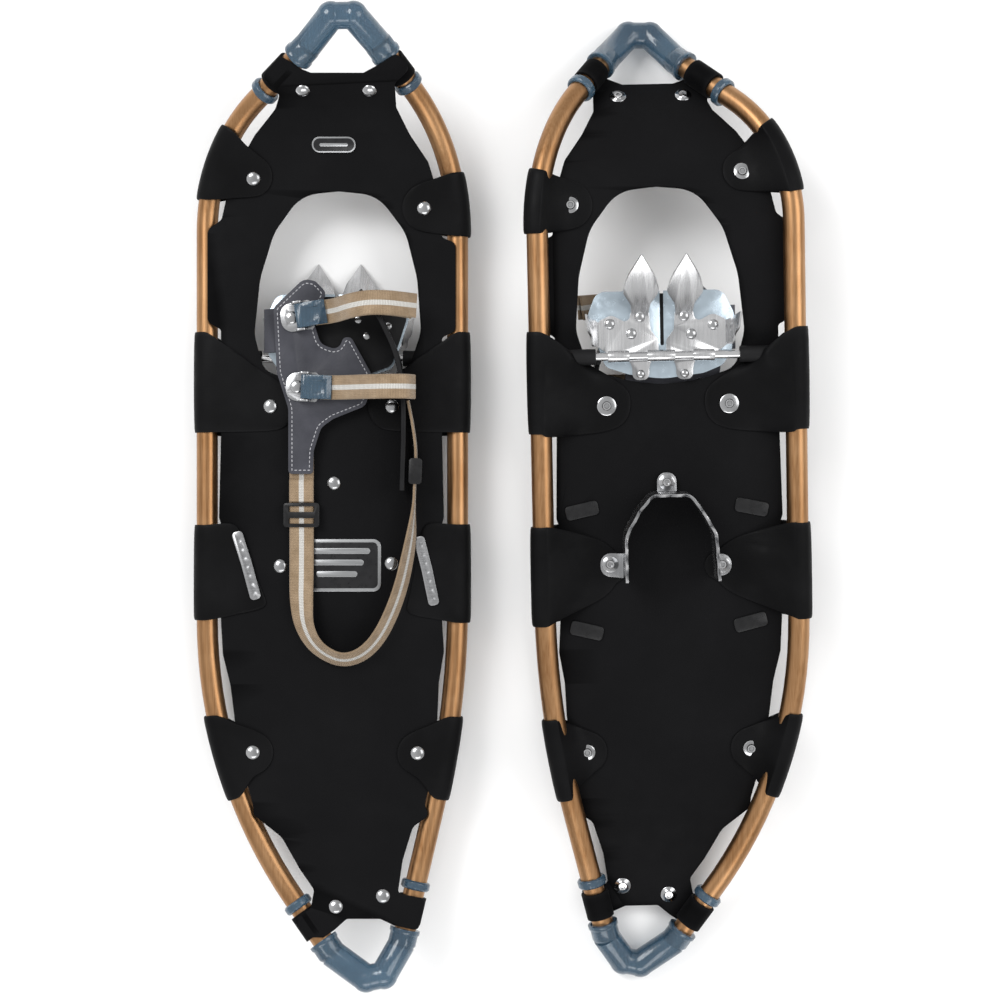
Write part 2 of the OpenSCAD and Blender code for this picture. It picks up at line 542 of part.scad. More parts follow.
buckles = [[-25.9, 31.4, 10], [-21.8, -23.2, -2]];   // x, y, turn of each buckle frame

module at_buckle(i) translate([buckles[i][0], buckles[i][1], arm_top]) children();

module buckle_frames() color("#c4c7ca") for (i = [0, 1]) at_buckle(i)
    buckle_frame(buckles[i][2]);

// Cam lever that turns on the buckle's pin and clamps the webbing
module lever() color("#6c8ea8") translate([1.5, 0, 5.5]) difference() {
    union() {
        rotate([90, 0, 0]) cylinder(r = 2.6, h = 18.6, center = true);
        rotate([90, 0, 0]) translate([0, 0, -9.3]) linear_extrude(18.6) polygon(outline([
            [-1, -2, 0], [3, -1.4, 1], [15, 0.6, 1], [21.5, -0.6, 1], [21.5, 1.6, 1],
            [14, 4.2, 4], [0, 2.6, 0]]));
    }
    rotate([90, 0, 0]) cylinder(r = 1.25, h = 30, center = true);
    translate([11, 0, 4.4]) cube([10, 10, 3], center = true);
}

module toe_lever() at_buckle(0) rotate([0, 0, buckles[0][2]]) lever();
module instep_lever() at_buckle(1) rotate([0, 0, buckles[1][2]]) lever();

// Webbing along stations [x, y, z, roll]: roll 0 lies flat, 90 stands on edge
module webbing(route) {
    k = len(route) - 1;
    function spot(i) = [route[i][0], route[i][1], route[i][2]];
    function row(i, s) = let (t = unit(spot(min(i + 1, k)) - spot(max(i - 1, 0))),
        across = unit([t[1], -t[0], 0]), up = cross(across, t), a = route[i][3],
        w = cos(a) * across + sin(a) * up, h = cross(w, t))
        [for (e = [-1, 1]) spot(i) + e * web_w / 2 * w + s * web_t / 2 * h];
    strip([for (i = [0 : k]) row(i, 1)], [for (i = [0 : k]) row(i, -1)]);
}

toe_route = smooth([[-12, 34, arm_top + 3, 0], [2, 35.5, arm_top + 3.2, 0],
    [16, 38, edge_top - 2, 0], [30, 40, edge_top + 5, 0], [44, 40, edge_top + 4, 0],
    [56, 39, edge_top - 2, 0], [64, 38, edge_top - 10, 0]]);
instep_route = smooth([[-8, -23.5, arm_top + 3, 0], [4, -24, arm_top + 3.2, 0],
    [26, -24, edge_top - 6, 0], [44, -24, edge_top + 4, 0], [60, -24, edge_top + 3, 0],
    [66, -24, edge_top - 8, 0]]);

module toe_strap() color("#b39a78") webbing(toe_route);
module instep_strap() color("#b39a78") webbing(instep_route);

edge_z = flap_z + 0.6 + web_w / 2;             // middle of the webbing that stands on edge
under_z = arm_z - 0.2 - web_t / 2;             // middle of the webbing under the flap's arm
heel_route = smooth([[60.4, -34, edge_z + 1, 90], [64, -52, edge_z, 90], [67, -74, edge_z, 90],
    [65.5, -100, edge_z, 90], [65, -116, edge_z, 90], [62.5, -145, edge_z + 1.5, 64],
    [53, -188, edge_z + 1.5, 58], [35, -225, edge_z + 1, 56], [12, -238, edge_z, 56],
    [-10, -228, edge_z, 52],
    [-21, -210, edge_z - 2, 38], [-23, -188, under_z + 4, 12], [-23, -168, under_z, 0],
    [-23, -120, under_z, 0], [-23, -76, under_z, 0]]);
slider_at = [-23, -123, under_z];              // rest place of the slider on the heel strap
catch_at = [66.4, -89, edge_z];

module heel_strap() color("#b39a78") webbing(heel_route);

module side_buckle() color("#17171a") translate(catch_at) rotate([0, 0, -2]) difference() {
    translate([-5, -10, -web_w / 2 - 0.5]) linear_extrude(web_w + 2)
        polygon(outline([[0, 0, 2.5], [10, 0, 2.5], [10, 20, 2.5], [0, 20, 2.5]]));
    cube([web_t + 1.2, 40, web_w + 0.8], center = true);
}

// Three-bar slider that the flat run of the heel strap passes through
module heel_slider() color("#1a1a1d") translate(slider_at) difference() {
    translate([0, 0, -2.8]) linear_extrude(5.6) polygon(outline([[-14, -9.5, 2.5], [14, -9.5, 2.5],
        [14, 9.5, 2.5], [-14, 9.5, 2.5]]));
    cube([web_w + 1.8, 40, web_t + 0.8], center = true);
    for (y = [-4.6, 4.6]) translate([0, y, 3]) cube([web_w + 1, 4.4, 5], center = true);
}

// ---------- the pair on the ground ----------

floor_z = bite;                                // rail axis above the ground, left shoe
right_pitch = 4.12;                            // the upturned caps tip the right shoe
right_height = 70.6;
place_x = -5.3;                                // centres the pair's outline
place_y = 112.2;

module shoe(side) translate([place_x, place_y, 0]) {
    if (side == "left") translate([-shoe_gap / 2, 0, floor_z]) children();
    else translate([shoe_gap / 2, 0, right_height]) rotate([right_pitch, 0, right_turn])
        rotate([0, 180, 0]) children();
}

for (side = SIDES) shoe(side) {
    lateral_tube();
    medial_tube();
    tip_cap();
    tail_cap();
    stop_rings();
    deck();
    front_wraps();
    pivot_wraps();
    heel_wraps();
    rear_wraps();
    deck_rivets();
    heel_crampon();
    clamp_bars();
    backing_plates();
    axle_rod();
    axle_sleeves();
    deck_badges();
    foot_plate();
    toe_crampon();
    binding_rivets();
    lateral_flap();
    medial_flap();
    buckle_frames();
    toe_strap();
    instep_strap();
    heel_strap();
    side_buckle();
    toe_lever();
    instep_lever();
    heel_slider();
}
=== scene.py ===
"""Looks, light and camera for a pair of tube-frame snowshoes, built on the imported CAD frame."""

import json
import math

import bmesh
import bpy
from mathutils import Matrix, Vector


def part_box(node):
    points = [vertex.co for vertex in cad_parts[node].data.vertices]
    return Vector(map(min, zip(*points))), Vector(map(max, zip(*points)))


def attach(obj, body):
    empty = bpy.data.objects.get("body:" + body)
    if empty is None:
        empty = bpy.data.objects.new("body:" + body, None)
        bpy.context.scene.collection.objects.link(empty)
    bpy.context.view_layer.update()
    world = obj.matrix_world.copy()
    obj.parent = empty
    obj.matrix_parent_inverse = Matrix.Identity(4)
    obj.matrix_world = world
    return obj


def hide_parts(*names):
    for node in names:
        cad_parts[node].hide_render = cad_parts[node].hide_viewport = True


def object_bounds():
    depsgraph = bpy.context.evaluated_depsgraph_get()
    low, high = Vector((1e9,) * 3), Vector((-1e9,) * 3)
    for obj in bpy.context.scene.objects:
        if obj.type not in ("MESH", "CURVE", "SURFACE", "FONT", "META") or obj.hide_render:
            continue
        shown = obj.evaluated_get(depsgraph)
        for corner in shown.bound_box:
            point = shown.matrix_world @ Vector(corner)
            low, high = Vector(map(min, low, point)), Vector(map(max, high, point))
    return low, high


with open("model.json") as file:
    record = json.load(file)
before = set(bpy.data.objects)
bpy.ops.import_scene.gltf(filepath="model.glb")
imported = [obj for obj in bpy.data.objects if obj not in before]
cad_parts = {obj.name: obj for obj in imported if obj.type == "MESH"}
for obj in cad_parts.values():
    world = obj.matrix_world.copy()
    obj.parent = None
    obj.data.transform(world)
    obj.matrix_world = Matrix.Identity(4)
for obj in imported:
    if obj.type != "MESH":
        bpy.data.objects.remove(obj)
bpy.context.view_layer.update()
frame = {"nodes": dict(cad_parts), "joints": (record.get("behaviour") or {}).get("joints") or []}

MM = 0.001
SIDES = ("left", "right")
joints = {j["name"]: j for j in frame["joints"]}

# Sizes in a shoe's own frame, in millimetres. Heights are above the pivot rod.
TUBE_R = 8.35
DECK_TOP = 10.45
WRAP_UNDER = 6.25    # underside of the wraps' lower layer
PLATE_TOP = 6.25
FLAP_TOP = 19.35
EDGE_TOP = 44
RAIL_X = 98.5


# ---------- the two shoes' own frames ----------

def shoe_frame(side):
    """Matrix from a shoe's own frame, in millimetres, to the shared frame in metres."""
    low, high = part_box(side + "_axle_rod")
    x = -Vector(joints[side + "_binding_pivot"]["axis"]).normalized()
    y = -Vector(joints[side + "_heel_slider_slide"]["axis"]).normalized()
    z = x.cross(y)
    m = Matrix((x, y, z)).transposed().to_4x4()
    return Matrix.Translation((low + high) / 2) @ m @ Matrix.Scale(MM, 4)


PLACE = {side: shoe_frame(side) for side in SIDES}


# ---------- materials ----------

class Look:
    """A procedural material: one shader and the texture nodes that drive it."""

    def __init__(self, name, color, roughness, metallic=0.0, **sockets):
        self.mat = bpy.data.materials.new(name)
        self.mat.use_nodes = True
        self.nodes = self.mat.node_tree.nodes
        self.links = self.mat.node_tree.links
        self.shader = self.nodes["Principled BSDF"]
        self.shader.inputs["Base Color"].default_value = (*color, 1)
        self.shader.inputs["Roughness"].default_value = roughness
        self.shader.inputs["Metallic"].default_value = metallic
        for key, value in sockets.items():
            self.shader.inputs[key.replace("_", " ")].default_value = value
        self.coords = self.nodes.new("ShaderNodeTexCoord")

    def add(self, kind, inputs=(), **settings):
        node = self.nodes.new("ShaderNode" + kind)
        for key, value in settings.items():
            setattr(node, key, value)
        for key, value in dict(inputs).items():
            if isinstance(value, bpy.types.NodeSocket):
                self.links.new(value, node.inputs[key])
            else:
                node.inputs[key].default_value = value
        return node

    def at(self, stretch=(1, 1, 1), source="Object"):
        return self.add("Mapping", {"Vector": self.coords.outputs[source],
                                    "Scale": stretch}).outputs["Vector"]

    def noise(self, scale, detail=3.0, stretch=(1, 1, 1), source="Object"):
        return self.add("TexNoise", {"Vector": self.at(stretch, source), "Scale": scale,
                                     "Detail": detail}).outputs["Fac"]

    def math(self, operation, a, b=0.0):
        return self.add("Math", {0: a, 1: b}, operation=operation).outputs[0]

    def span(self, value, low, high, to_low=0.0, to_high=1.0):
        return self.add("MapRange", {"Value": value, "From Min": low, "From Max": high,
                                     "To Min": to_low, "To Max": to_high}).outputs["Result"]

    def mix(self, factor, a, b, blend="MIX"):
        node = self.add("Mix", {0: factor}, data_type="RGBA", blend_type=blend)
        for key, value in ((6, a), (7, b)):
            if isinstance(value, bpy.types.NodeSocket):
                self.links.new(value, node.inputs[key])
            else:
                node.inputs[key].default_value = (*value, 1)
        return node.outputs[2]

    def drive(self, name, value):
        self.links.new(value, self.shader.inputs[name])

    def bump(self, height, depth, strength=1.0, under=None):
        inputs = {"Height": height, "Distance": depth, "Strength": strength}
        if under is not None:
            inputs["Normal"] = under
        normal = self.add("Bump", inputs).outputs["Normal"]
        self.drive("Normal", normal)
        return normal

    def edges(self, low=0.52, high=0.6):
        """1 along worn edges, 0 on flat faces."""
        return self.span(self.add("NewGeometry").outputs["Pointiness"], low, high)


def anodised():
    look = Look("anodised_bronze", (0.33, 0.175, 0.08), 0.34, 1.0, Specular_IOR_Level=0.5)
    grain = look.noise(900, 4, (1, 0.04, 1))
    cloud = look.noise(28, 3)
    color = look.mix(look.span(cloud, 0.35, 0.65), (0.27, 0.132, 0.053), (0.36, 0.195, 0.09))
    color = look.mix(look.span(grain, 0.3, 0.7, 0, 0.35), color, (0.5, 0.31, 0.17))
    look.drive("Base Color", color)
    look.drive("Roughness", look.span(grain, 0.25, 0.75, 0.3, 0.44))
    look.bump(grain, 0.00003, 0.5)
    return look.mat


def polymer():
    look = Look("blue_polymer", (0.1, 0.2, 0.3), 0.2, 0.0, IOR=1.46,
                Transmission_Weight=0.55, Subsurface_Weight=0.1, Subsurface_Scale=0.004,
                Coat_Weight=0.3, Coat_Roughness=0.1)
    look.shader.inputs["Subsurface Radius"].default_value = (0.5, 0.8, 1.0)
    cloud = look.noise(22, 2)
    ribs = look.add("TexWave", {"Vector": look.at(), "Scale": 110.0},
                    bands_direction="X").outputs["Fac"]
    color = look.mix(look.span(cloud, 0.3, 0.7), (0.05, 0.1, 0.155), (0.095, 0.175, 0.25))
    # Painted shade: the low parts of the rib waves, the grooves, are darkened towards a deep blue.
    look.drive("Base Color", look.mix(look.span(ribs, 0, 0.4, 0.22, 0), color,
                                      (0.03, 0.06, 0.095)))
    look.drive("Roughness", look.span(look.noise(90, 2), 0.3, 0.7, 0.14, 0.24))
    flow = look.bump(ribs, 0.0002, 0.18)
    look.bump(look.noise(1400, 2), 0.00001, 0.2, flow)
    return look.mat


def coated(name, base, shine, weave_depth, gloss):
    """Coated fabric: a faint weave under a rubbery skin, with dust and worn edges."""
    look = Look(name, base, shine, 0.0, Sheen_Weight=0.008, Sheen_Roughness=0.5,
                Specular_IOR_Level=gloss)
    a = look.add("TexWave", {"Vector": look.at(), "Scale": 260.0, "Distortion": 0.8},
                 bands_direction="X").outputs["Fac"]
    b = look.add("TexWave", {"Vector": look.at(), "Scale": 260.0, "Distortion": 0.8},
                 bands_direction="Y").outputs["Fac"]
    weave = look.math("MULTIPLY", a, b)
    dust = look.span(look.noise(18, 6), 0.42, 0.75)
    light = tuple(c * 1.8 + 0.001 for c in base)
    color = look.mix(dust, base, light)
    color = look.mix(look.math("MULTIPLY", look.edges(), 0.35), color, (0.014, 0.014, 0.015))
    look.drive("Base Color", color)
    look.drive("Roughness", look.span(look.noise(75, 5), 0.3, 0.7, shine - 0.07, shine + 0.1))
    ripple = look.bump(look.noise(24, 2), 0.002, 0.28)
    fine = look.bump(look.noise(1100, 4), 0.00012, 0.45, ripple)
    look.bump(weave, weave_depth, 0.5, fine)
    return look.mat


def metal(name, base, low, high, stretch=(1, 1, 1), grain_scale=700, wear=0.5, depth=0.00003):
    """Bare metal with grain, smudges, bright worn edges and painted shade on faces turned towards
    +X.
    """
    look = Look(name, base, (low + high) / 2, 1.0)
    grain = look.noise(grain_scale, 5, stretch)
    smudge = look.noise(45, 5)
    dark = tuple(c * 0.5 for c in base)
    side_shade_mask = look.add("SeparateXYZ", {"Vector": look.coords.outputs["Normal"]}).outputs["X"]
    color = look.mix(look.span(smudge, 0.35, 0.7, 0, 0.6), base, dark)
    # Painted shade: faces whose normal points towards +X are darkened to half the base colour,
    # standing in for the side the light misses.
    color = look.mix(look.span(side_shade_mask, -0.35, 0.35), color, dark)
    color = look.mix(look.math("MULTIPLY", look.edges(), wear), color, (0.92, 0.92, 0.93))
    look.drive("Base Color", color)
    look.drive("Roughness", look.math("ADD", look.span(grain, 0.25, 0.75, low, high),
                                      look.span(smudge, 0.4, 0.8, 0, 0.07)))
    look.bump(grain, depth, 0.6)
    return look.mat


def moulded(name, base, shine, grain=1500, depth=0.00005, **sockets):
    """Moulded plastic, rubber or enamel with a fine surface grain."""
    look = Look(name, base, shine, 0.0, **sockets)
    cloud = look.noise(50, 5)
    light = tuple(min(1, c * 1.5 + 0.002) for c in base)
    color = look.mix(look.span(cloud, 0.35, 0.7), base, light)
    color = look.mix(look.math("MULTIPLY", look.edges(), 0.3), color,
                     tuple(min(1, c * 2 + 0.025) for c in base))
    look.drive("Base Color", color)
    look.drive("Roughness", look.span(look.noise(200, 4), 0.3, 0.7, shine - 0.08, shine + 0.1))
    look.bump(look.noise(grain, 3), depth, 0.5)
    return look.mat


def leather():
    look = Look("grey_synthetic_leather", (0.03, 0.03, 0.036), 0.5, 0.0,
                Sheen_Weight=0.05, Specular_IOR_Level=0.2)
    cells = look.add("TexVoronoi", {"Vector": look.at(), "Scale": 620.0},
                     feature="SMOOTH_F1").outputs["Distance"]
    cloud = look.noise(40, 5)
    color = look.mix(look.span(cloud, 0.3, 0.7), (0.026, 0.027, 0.034), (0.05, 0.051, 0.062))
    color = look.mix(look.math("MULTIPLY", look.edges(), 0.5), color, (0.12, 0.12, 0.14))
    look.drive("Base Color", color)
    look.drive("Roughness", look.span(look.noise(160, 4), 0.3, 0.7, 0.4, 0.6))
    crease = look.bump(look.noise(70, 3), 0.0008, 0.3)
    look.bump(cells, 0.0002, 0.5, crease)
    return look.mat


def woven():
    """Ribbed webbing. UV x is across the strap from its middle and y along it, in metres."""
    look = Look("ribbed_webbing", (0.4, 0.29, 0.18), 0.78, 0.0, Sheen_Weight=0.35,
                Sheen_Roughness=0.4)
    split = look.add("SeparateXYZ", {"Vector": look.coords.outputs["UV"]})
    across, along = split.outputs["X"], split.outputs["Y"]
    wobble = look.math("MULTIPLY", look.math("SUBTRACT", look.noise(90, 2), 0.5), 0.0006)
    ribs = look.math("SINE", look.math("MULTIPLY", look.math("ADD", along, wobble), 5200))
    cords = look.math("SINE", look.math("MULTIPLY", across, 4600))
    weave = look.math("ADD", ribs, look.math("MULTIPLY", cords, 0.6))
    distance = look.math("ABSOLUTE", across)
    stripe = look.span(distance, 0.0017, 0.0021, 1, 0)
    hem = look.span(distance, 0.0078, 0.0086)
    tan = look.mix(look.span(look.noise(110, 5), 0.3, 0.7), (0.25, 0.17, 0.095),
                   (0.37, 0.265, 0.165))
    color = look.mix(stripe, tan, (0.62, 0.61, 0.58))
    color = look.mix(look.math("MULTIPLY", hem, 0.55), color, (0.24, 0.17, 0.105))
    # Painted shade: the grooves between the ribs are darkened towards a deep brown.
    color = look.mix(look.span(ribs, -1, 0.3, 0.45, 0), color, (0.13, 0.09, 0.055))
    look.drive("Base Color", color)
    look.bump(weave, 0.00022, 0.8)
    return look.mat


def thread():
    look = Look("twisted_thread", (0.36, 0.36, 0.38), 0.65, 0.0, Sheen_Weight=0.3)
    twist = look.noise(1600, 3, (1, 1, 0.3))
    look.drive("Base Color", look.mix(look.span(twist, 0.3, 0.7), (0.2, 0.2, 0.22),
                                      (0.46, 0.46, 0.48)))
    look.bump(twist, 0.0001, 0.7)
    return look.mat


def studio():
    look = Look("pale_floor", (0.9, 0.9, 0.9), 0.9, 0.0, Specular_IOR_Level=0.1)
    look.drive("Base Color", look.mix(look.span(look.noise(3, 3), 0.3, 0.7),
                                      (0.93, 0.93, 0.93), (0.95, 0.95, 0.95)))
    return look.mat


MATS = {
    "anodised_tube": anodised(),
    "blue_polymer": polymer(),
    "deck_sheet": coated("deck_fabric", (0.0014, 0.0014, 0.0016), 0.6, 0.00008, 0.03),
    "wrap_sheet": coated("wrap_fabric", (0.0024, 0.0024, 0.0027), 0.5, 0.00006, 0.07),
    "bright_rivet": metal("polished_rivet", (0.56, 0.565, 0.575), 0.12, 0.24),
    "stainless": metal("brushed_stainless", (0.36, 0.365, 0.375), 0.16, 0.32, (1, 0.05, 0.05), 900),
    "stamped_steel": metal("stamped_steel", (0.42, 0.425, 0.435), 0.2, 0.38, (0.06, 1, 1), 800),
    "black_plastic": moulded("black_nylon", (0.004, 0.004, 0.0045), 0.3, Specular_IOR_Level=0.3),
    "rubber_sleeve": moulded("rubber", (0.004, 0.004, 0.0045), 0.6, 900, 0.0001,
                             Specular_IOR_Level=0.15),
    "badge_metal": metal("brushed_badge", (0.4, 0.41, 0.42), 0.24, 0.42, (0.03, 1, 1), 1100),
    "foot_plate": moulded("bright_plate", (0.26, 0.31, 0.35), 0.2, 400, 0.00006,
                          Coat_Weight=0.5, Metallic=0.55),
    "grey_flap": leather(),
    "black_flap": moulded("black_flap_sheet", (0.004, 0.004, 0.0045), 0.48, 1100, 0.0001,
                          Specular_IOR_Level=0.15),
    "webbing": woven(),
}
THREAD = thread()
DARK_PRINT = moulded("dark_enamel", (0.006, 0.006, 0.007), 0.3, 900, 0.00003,
                     Specular_IOR_Level=0.3)


# ---------- building pieces ----------

def piece(name, mesh, body, slot, material=None, stands_for=()):
    mesh.materials.clear()
    mesh.materials.append(material or MATS[slot])
    mesh.shade_smooth()
    mesh.set_sharp_from_angle(angle=math.radians(38))
    obj = bpy.data.objects.new(name, mesh)
    bpy.context.scene.collection.objects.link(obj)
    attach(obj, body)
    if stands_for:
        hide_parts(*stands_for)
    return obj


def applied(obj):
    """The object's mesh with its modifiers worked in."""
    bpy.context.view_layer.update()
    graph = bpy.context.evaluated_depsgraph_get()
    mesh = bpy.data.meshes.new_from_object(obj.evaluated_get(graph))
    bpy.data.objects.remove(obj)
    return mesh


def refine(side, part, body, slot, bevel=0.25, levels=0, flat=1.0):
    """A CAD node's mesh with rounded edges, or smoothed, standing for that node."""
    node = f"{side}_{part}"
    source = frame["nodes"][node].data
    bm = bmesh.new()
    bm.from_mesh(source)
    bmesh.ops.remove_doubles(bm, verts=bm.verts, dist=4e-6)
    if levels:
        bmesh.ops.join_triangles(bm, faces=bm.faces, angle_face_threshold=math.radians(50),
                                 angle_shape_threshold=math.radians(100))
    else:
        bmesh.ops.dissolve_limit(bm, angle_limit=math.radians(flat), verts=bm.verts,
                                 edges=bm.edges)
    mesh = bpy.data.meshes.new(node + "_work")
    bm.to_mesh(mesh)
    bm.free()
    work = bpy.data.objects.new(node + "_work", mesh)
    bpy.context.scene.collection.objects.link(work)
    if bevel:
        m = work.modifiers.new("round", "BEVEL")
        m.width = bevel * MM
        m.segments = 2
        m.limit_method = "ANGLE"
        m.angle_limit = math.radians(42)
        m.use_clamp_overlap = True
    if levels:
        m = work.modifiers.new("smooth", "SUBSURF")
        m.levels = m.render_levels = levels
    out = applied(work)
    return piece(node + "_look", out, body, slot, stands_for=[node])


def mesh_of(name, points, faces, place, uv=None):
    """A checked mesh in the shared frame, from points in a shoe's own frame."""
    mesh = bpy.data.meshes.new(name)
    mesh.from_pydata([place @ Vector(p) for p in points], [], faces)
    if uv:
        layer = mesh.uv_layers.new(name="UVMap")
        for loop in mesh.loops:
            layer.data[loop.index].uv = uv[loop.vertex_index]
    mesh.validate()
    bm = bmesh.new()
    bm.from_mesh(mesh)
    bmesh.ops.recalc_face_normals(bm, faces=bm.faces)
    bm.to_mesh(mesh)
    bm.free()
    return mesh


def loft(name, rings, place, uv=None, caps=True):
    """Surface through rings of the same number of points."""
    n = len(rings[0])
    points = [p for ring in rings for p in ring]
    faces = [(i * n + j, i * n + (j + 1) % n, (i + 1) * n + (j + 1) % n, (i + 1) * n + j)
             for i in range(len(rings) - 1) for j in range(n)]
    if caps:
        faces.append(tuple(range(n)))
        faces.append(tuple(range(len(points) - n, len(points))))
    return mesh_of(name, points, faces, place, uv)


def joined(name, meshes):
    bm = bmesh.new()
    for mesh in meshes:
        bm.from_mesh(mesh)
    out = bpy.data.meshes.new(name)
    bm.to_mesh(out)
    bm.free()
    return out


def smooth(points, rounds=3):
    """Corners of an open route cut off again and again, ends kept."""
    for _ in range(rounds):
        cut = [points[0]]
        for a, b in zip(points, points[1:]):
            cut.append([0.75 * p + 0.25 * q for p, q in zip(a, b)])
            cut.append([0.25 * p + 0.75 * q for p, q in zip(a, b)])
        points = cut + [points[-1]]
    return points


# ---------- rails ----------

# radius, tilt of the bend's plane, angle, straight length after it, and where it starts
BENDS = {(-1, 1): (116, 38, 56.7, 66, 100), (1, 1): (136.4, 47, 51, 48, 100),
         (-1, -1): (367.4, 12, 36.3, 52, -205), (1, -1): (680, 19, 14, 107, -190)}


def bend_at(side, end, angle, past=0.0):
    """Place and direction on a rail's bend, and beyond it along its straight end."""
    r, tilt, _, _, start = BENDS[side, end]
    a, t = math.radians(angle), math.radians(tilt)
    out = (1 - math.cos(a)) * r
    way = Vector((-side * math.sin(a) * math.cos(t), end * math.cos(a),
                  math.sin(a) * math.sin(t)))
    spot = Vector((side * RAIL_X - side * out * math.cos(t), start + end * math.sin(a) * r,
                   out * math.sin(t)))
    return spot + past * way, way


def rail_route(side):
    """Places and directions along a rail, from its tail end to its toe end."""
    route = [bend_at(side, -1, BENDS[side, -1][2], BENDS[side, -1][3])]
    route += [bend_at(side, -1, BENDS[side, -1][2] * i / 16) for i in range(16, -1, -1)]
    route += [bend_at(side, 1, BENDS[side, 1][2] * i / 20) for i in range(21)]
    route += [bend_at(side, 1, BENDS[side, 1][2], BENDS[side, 1][3])]
    return [(spot, way if i > 17 else -way) for i, (spot, way) in enumerate(route)]


def ring(spot, way, r, n, sweep=360.0):
    """Points of a circle, or of an arc, square to a rail."""
    h = Vector((way[1], -way[0], 0)).normalized()
    v = h.cross(way)
    count = n if sweep == 360 else n - 1
    angles = [math.radians(sweep * k / count) for k in range(n)]
    return [spot + r * (math.cos(a) * h + math.sin(a) * v) for a in angles]


def tube(side, shoe, part):
    """A hollow rail, bent as BENDS says."""
    route = rail_route(side)
    outer = [ring(spot, way, TUBE_R, 40) for spot, way in route]
    inner = [ring(spot, way, TUBE_R - 1.4, 40) for spot, way in reversed(route)]
    mesh = loft(f"{shoe}_{part}", outer + inner + outer[:1], PLACE[shoe], caps=False)
    return piece(f"{shoe}_{part}_look", mesh, shoe + "_shoe", "anodised_tube",
                 stands_for=[f"{shoe}_{part}"])


def tab_fold(shoe, name, side, end, low, high):
    """A deck tab's fold round a rail's straight end."""
    angle = BENDS[side, end][2]
    rings = []
    for i in range(9):
        spot, way = bend_at(side, end, angle, low + (high - low) * i / 8)
        way = way * end
        arc_out = ring(spot, way, TUBE_R + 2.4, 22, sweep=359)
        arc_in = ring(spot, way, TUBE_R + 0.25, 22, sweep=359)
        rings.append(arc_out + arc_in[::-1])
    mesh = loft(f"{shoe}_{name}", rings, PLACE[shoe])
    return piece(f"{shoe}_{name}", mesh, shoe + "_shoe", "deck_sheet")


def rise(y):
    """How far the rails have risen at a place along the shoe."""
    end = 1 if y > 0 else -1
    r, tilt, _, _, start = BENDS[-1, end]
    past = max(0, end * (y - start))
    return r * math.sin(math.radians(tilt)) * (1 - math.sqrt(1 - (past / r) ** 2))


def slope(y):
    """Steepness of the rails at a place along the shoe."""
    return (rise(y + 1) - rise(y - 1)) / 2


# ---------- small parts ----------

def blob(length, radius, n=8):
    """Rings of a stitch lying along X, rounded at its ends."""
    out = []
    for u in (-1, -0.9, -0.6, 0, 0.6, 0.9, 1):
        r = radius * math.sqrt(max(0.06, 1 - abs(u) ** 3))
        out.append([(u * length / 2, r * math.cos(2 * math.pi * k / n),
                     0.75 * r * math.sin(2 * math.pi * k / n)) for k in range(n)])
    return out


def stitches(shoe, name, body, route, pitch=3.4, length=2.3, radius=0.42):
    """A row of stitches along a route of points, each lying on its surface."""
    meshes, carry = [], pitch / 2
    for a, b in zip(route, route[1:]):
        a, b = Vector(a), Vector(b)
        step = (b - a).length
        if step < 1e-6:
            continue
        turn = (b - a).to_track_quat("X", "Z").to_matrix().to_4x4()
        while carry < step:
            place = PLACE[shoe] @ Matrix.Translation(a.lerp(b, carry / step)) @ turn
            meshes.append(loft("stitch", blob(length, radius), place))
            carry += pitch
        carry -= step
    return piece(f"{shoe}_{name}", joined(f"{shoe}_{name}", meshes), body, "grey_flap", THREAD)


def outline(corners, n=6):
    """Closed outline from (x, y, corner radius) points."""
    out = []
    for i, (x, y, r) in enumerate(corners):
        p = Vector((x, y))
        u = (Vector(corners[i - 1][:2]) - p).normalized()
        v = (Vector(corners[(i + 1) % len(corners)][:2]) - p).normalized()
        half = math.acos(max(-1, min(1, u.dot(v)))) / 2
        if r <= 0:
            out.append(p)
            continue
        c = p + (u + v).normalized() * r / math.sin(half)
        s, t = p + u * r / math.tan(half), p + v * r / math.tan(half)
        a0, a1 = math.atan2(*(s - c).yx), math.atan2(*(t - c).yx)
        turn = (a1 - a0 + math.pi) % (2 * math.pi) - math.pi
        out += [c + r * Vector((math.cos(a0 + turn * k / n), math.sin(a0 + turn * k / n)))
                for k in range(n + 1)]
    return out


def rounded(x0, y0, x1, y1, r):
    return outline([(x0, y0, r), (x1, y0, r), (x1, y1, r), (x0, y1, r)])


def inset(points, d):
    """Outline moved inwards by d. The points run anticlockwise or clockwise."""
    area = sum(a.x * b.y - b.x * a.y for a, b in zip(points, points[1:] + points[:1]))
    sign = 1 if area > 0 else -1
    out = []
    for i, p in enumerate(points):
        way = (points[(i + 1) % len(points)] - points[i - 1]).normalized()
        out.append(p + sign * d * Vector((-way.y, way.x)))
    return out


def slab(name, points, z0, z1, place, edge=0.4):
    """Plate with softened edges over an outline."""
    rings = []
    for d, z in ((edge, z0), (edge * 0.3, z0 + edge * 0.3), (0, z0 + edge), (0, z1 - edge),
                 (edge * 0.3, z1 - edge * 0.3), (edge, z1)):
        rings.append([(p.x, p.y, z) for p in inset(points, d)])
    return loft(name, rings, place)


def turned(name, profile, place, n=40):
    """Surface of revolution about Z of (radius, height) points."""
    rings = [[(r * math.cos(2 * math.pi * k / n), r * math.sin(2 * math.pi * k / n), z)
              for k in range(n)] for r, z in profile]
    return loft(name, rings, place)


# Place across and along the shoe of each rivet, and its washer's radius
WASHERS = [(-60.4, 140, 6.4), (72.5, 117, 6.4), (-61, -308.5, 6.4), (67.5, -309, 6.4),
           (-47.5, -38, 7.6), (47.5, -38, 7.6)]


